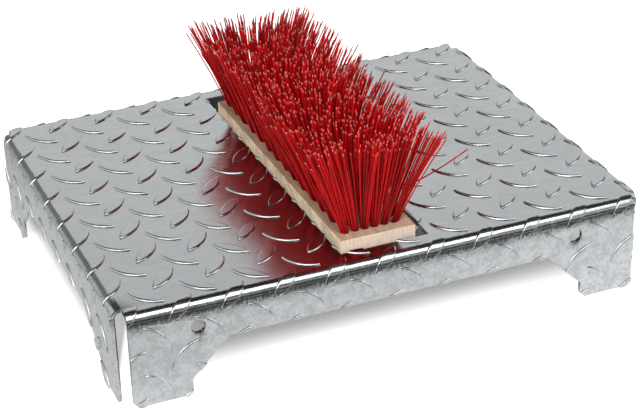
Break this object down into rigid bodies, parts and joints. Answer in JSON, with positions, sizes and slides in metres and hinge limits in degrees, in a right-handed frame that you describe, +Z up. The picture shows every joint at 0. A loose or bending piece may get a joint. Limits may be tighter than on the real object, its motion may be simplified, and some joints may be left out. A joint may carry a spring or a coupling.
{
  "type": "boot scraper brush",
  "caption": "Boot scraper: a low step folded from raised-lug tread plate, with a wooden broom head set into its top and stiff bristles standing up",
  "frame": {"origin": "middle of the step's base, on the floor", "axes": "+X right along the front edge, +Y to the back, +Z up; the brush runs along Y"},
  "size_m": [0.4024, 0.3158, 0.1506],
  "materials": {
    "galvanised_tear_plate": "hot-dip galvanised, satin",
    "galvanised_bar": "hot-dip galvanised, dull",
    "weld_metal": "as welded, zinc over",
    "zinc_fastener": "zinc plated",
    "beech_wood": "sawn, untreated",
    "red_bristle": "satin"
  },
  "bodies": {
    "root": {"step_plate": "galvanised_tear_plate", "brush_block": "beech_wood", "bristles_1": "red_bristle", "bristles_2": "red_bristle", "bristles_3": "red_bristle", "bristles_4": "red_bristle", "front_strap": "galvanised_bar", "front_left_weld": "weld_metal", "front_left_washer": "zinc_fastener", "front_left_screw": "zinc_fastener", "front_right_weld": "weld_metal", "front_right_washer": "zinc_fastener", "front_right_screw": "zinc_fastener", "rear_strap": "galvanised_bar", "rear_left_weld": "weld_metal", "rear_left_washer": "zinc_fastener", "rear_left_screw": "zinc_fastener", "rear_right_weld": "weld_metal", "rear_right_washer": "zinc_fastener", "rear_right_screw": "zinc_fastener"}
  },
  "joints": []
}
